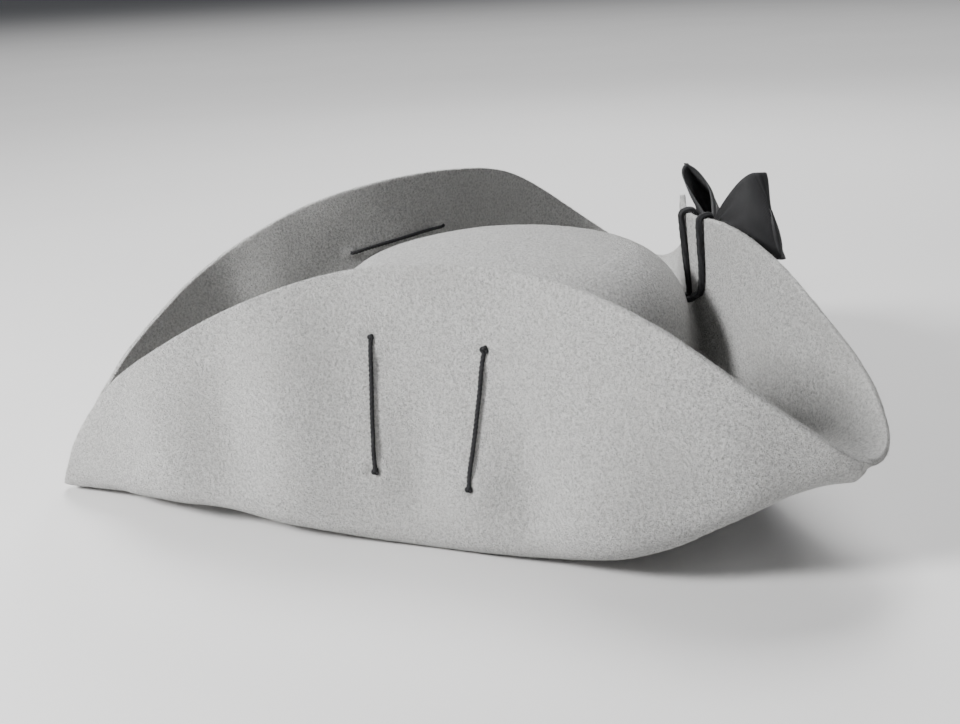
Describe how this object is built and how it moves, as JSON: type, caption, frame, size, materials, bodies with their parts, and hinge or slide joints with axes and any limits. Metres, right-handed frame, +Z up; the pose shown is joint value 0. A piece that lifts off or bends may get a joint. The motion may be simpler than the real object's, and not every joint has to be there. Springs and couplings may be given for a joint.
{
  "type": "tricorn hat",
  "caption": "Felt hat with a domed crown and a brim folded up on three sides, laced to the crown, with a ribbon bow tied behind; worn on the head as a pirate costume piece",
  "frame": {"origin": "Centre of the head opening, on the plane the hat rests on.", "axes": "+Z up out of the crown, -Y toward the hat's front point, +X toward the wearer's left."},
  "size_m": [0.3838, 0.3738, 0.1493],
  "materials": {
    "felt": "matte",
    "band": "matte",
    "cord": "matte",
    "ribbon": "satin"
  },
  "bodies": {
    "hat": {"felt_brim": "felt", "felt_crown": "felt", "sweatband": "band", "left_lace": "cord", "right_lace": "cord", "back_tie": "ribbon", "bow_knot": "ribbon"},
    "loop_left": {"bow_loop_left": "ribbon"},
    "loop_right": {"bow_loop_right": "ribbon"},
    "tail_left": {"bow_tail_left": "ribbon"},
    "tail_right": {"bow_tail_right": "ribbon"}
  },
  "joints": [
    {"name": "loop_left_turn", "type": "hinge", "parent": "hat", "child": "loop_left", "pos_m": [0, 0.109, 0.112], "axis": [0, 1, 0], "range_deg": [-8, 8]},
    {"name": "loop_right_turn", "type": "hinge", "parent": "hat", "child": "loop_right", "pos_m": [0, 0.109, 0.112], "axis": [0, 1, 0], "range_deg": [-8, 8]},
    {"name": "tail_left_swing", "type": "hinge", "parent": "hat", "child": "tail_left", "pos_m": [0.0049, 0.1133, 0.1047], "axis": [1, 0, 0], "range_deg": [0, 75]},
    {"name": "tail_right_swing", "type": "hinge", "parent": "hat", "child": "tail_right", "pos_m": [-0.0049, 0.1133, 0.1047], "axis": [1, 0, 0], "range_deg": [0, 75]}
  ]
}
